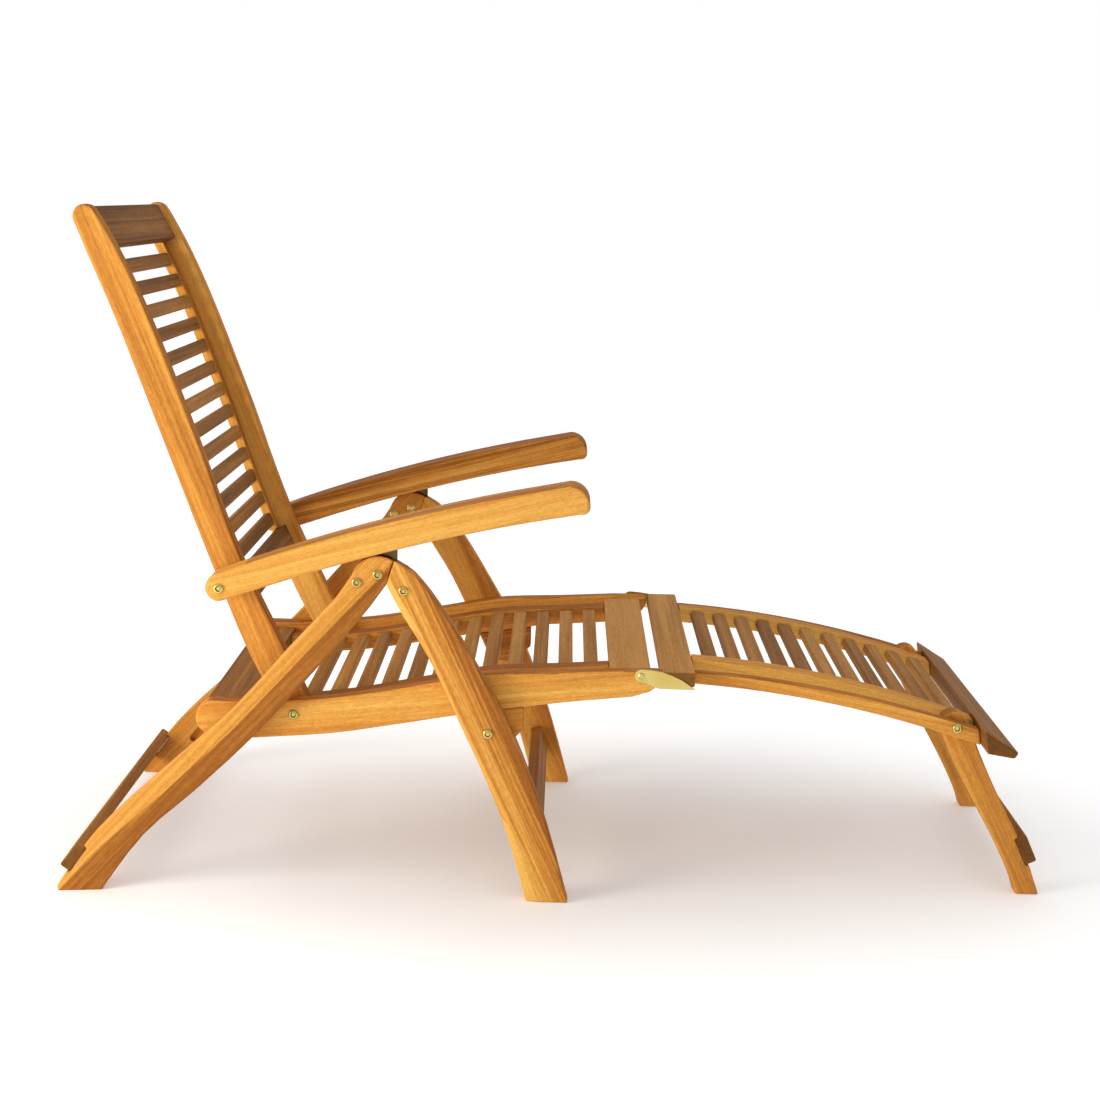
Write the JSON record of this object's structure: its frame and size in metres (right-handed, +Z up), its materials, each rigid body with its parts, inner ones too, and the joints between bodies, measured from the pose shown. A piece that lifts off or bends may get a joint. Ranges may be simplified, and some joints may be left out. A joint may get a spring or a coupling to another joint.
{
  "type": "wooden sun lounger",
  "caption": "Folding slatted wooden sun lounger with crossed legs, reclining back, curved armrests and a hinged footrest on its own folding legs.",
  "frame": {"origin": "on the floor, midway between the two sides and midway along the lounger's length", "axes": "+X towards the footrest's end, +Y to the sitter's left, +Z up"},
  "size_m": [1.475, 0.5996, 1.003],
  "materials": {
    "frame_wood": "oiled, satin",
    "slat_wood": "oiled, satin",
    "yellow_zinc": "yellow zinc-plated, satin"
  },
  "bodies": {
    "rear_legs": {"rear_leg_right": "frame_wood", "rear_leg_left": "frame_wood", "hinge_plate_right": "yellow_zinc", "hinge_plate_left": "yellow_zinc", "crown_bolt_rear_right": "yellow_zinc", "crown_bolt_rear_left": "yellow_zinc", "crown_bolt_front_right": "yellow_zinc", "crown_bolt_front_left": "yellow_zinc", "leg_pivot_bolt_right": "yellow_zinc", "leg_pivot_bolt_left": "yellow_zinc", "rear_stretcher": "frame_wood"},
    "front_legs": {"front_leg_right": "frame_wood", "front_leg_left": "frame_wood", "seat_pivot_bolt_right": "yellow_zinc", "seat_pivot_bolt_left": "yellow_zinc", "seat_pivot_spacer_right": "yellow_zinc", "seat_pivot_spacer_left": "yellow_zinc", "front_stretcher": "frame_wood"},
    "seat": {"seat_rail_right": "frame_wood", "seat_rail_left": "frame_wood", "seat_lug_right": "frame_wood", "seat_lug_left": "frame_wood", "guide_pin_right": "yellow_zinc", "guide_pin_left": "yellow_zinc", "plate_rivet_right": "yellow_zinc", "plate_rivet_left": "yellow_zinc", "seat_front_board": "slat_wood", "seat_rear_board": "slat_wood", "seat_slats": "slat_wood"},
    "back_pivots": {"back_pivot_bolt_right": "yellow_zinc", "back_pivot_bolt_left": "yellow_zinc"},
    "back": {"back_stile_right": "frame_wood", "back_stile_left": "frame_wood", "back_top_rail": "slat_wood", "back_bottom_rail": "slat_wood", "back_slats": "slat_wood"},
    "arm_pivots": {"arm_pivot_bolt_right": "yellow_zinc", "arm_pivot_bolt_left": "yellow_zinc", "arm_pivot_washer_right": "yellow_zinc", "arm_pivot_washer_left": "yellow_zinc"},
    "armrests": {"armrest_right": "frame_wood", "armrest_left": "frame_wood"},
    "footrest": {"footrest_rail_right": "frame_wood", "footrest_rail_left": "frame_wood", "leaf_plate_right": "yellow_zinc", "leaf_plate_left": "yellow_zinc", "footrest_leg_bolt_right": "yellow_zinc", "footrest_leg_bolt_left": "yellow_zinc", "footrest_first_board": "slat_wood", "footrest_end_board": "slat_wood", "footrest_slats": "slat_wood"},
    "footrest_legs": {"footrest_leg_right": "frame_wood", "footrest_leg_left": "frame_wood", "footrest_leg_stretcher": "frame_wood"}
  },
  "joints": [
    {"name": "leg_fold", "type": "hinge", "parent": "rear_legs", "child": "front_legs", "pos_m": [-0.226, 0, 0.468], "axis": [0, 1, 0], "range_deg": [0, 46]},
    {"name": "seat_tilt", "type": "hinge", "parent": "front_legs", "child": "seat", "pos_m": [-0.102, 0, 0.258], "axis": [0, 1, 0], "range_deg": [-66.3, 0]},
    {"name": "back_fold", "type": "hinge", "parent": "seat", "child": "back_pivots", "pos_m": [-0.389, 0, 0.272], "axis": [0, 1, 0], "range_deg": [0, 67.2]},
    {"name": "recline", "type": "hinge", "parent": "back_pivots", "child": "back", "pos_m": [-0.389, 0, 0.272], "axis": [0, -1, 0], "range_deg": [0, 30]},
    {"name": "arm_turn", "type": "hinge", "parent": "back", "child": "arm_pivots", "pos_m": [-0.49, 0, 0.467], "axis": [0, 1, 0], "range_deg": [0, 20.9]},
    {"name": "arm_lift", "type": "hinge", "parent": "arm_pivots", "child": "armrests", "pos_m": [-0.49, 0, 0.467], "axis": [0, -1, 0], "range_deg": [0, 74.1]},
    {"name": "footrest_swing", "type": "hinge", "parent": "seat", "child": "footrest", "pos_m": [0.12, 0, 0.343], "axis": [0, 1, 0], "range_deg": [0, 75]},
    {"name": "footrest_leg_fold", "type": "hinge", "parent": "footrest", "child": "footrest_legs", "pos_m": [0.5918, 0, 0.26567], "axis": [0, 1, 0], "range_deg": [0, 125]}
  ],
  "couplings": [
    {"joint": "seat_tilt", "follows": "leg_fold", "ratio": -1.43},
    {"joint": "back_fold", "follows": "leg_fold", "ratio": 1.45},
    {"joint": "arm_lift", "follows": "leg_fold", "ratio": 1.6},
    {"joint": "arm_turn", "follows": "recline", "ratio": 0.68}
  ]
}
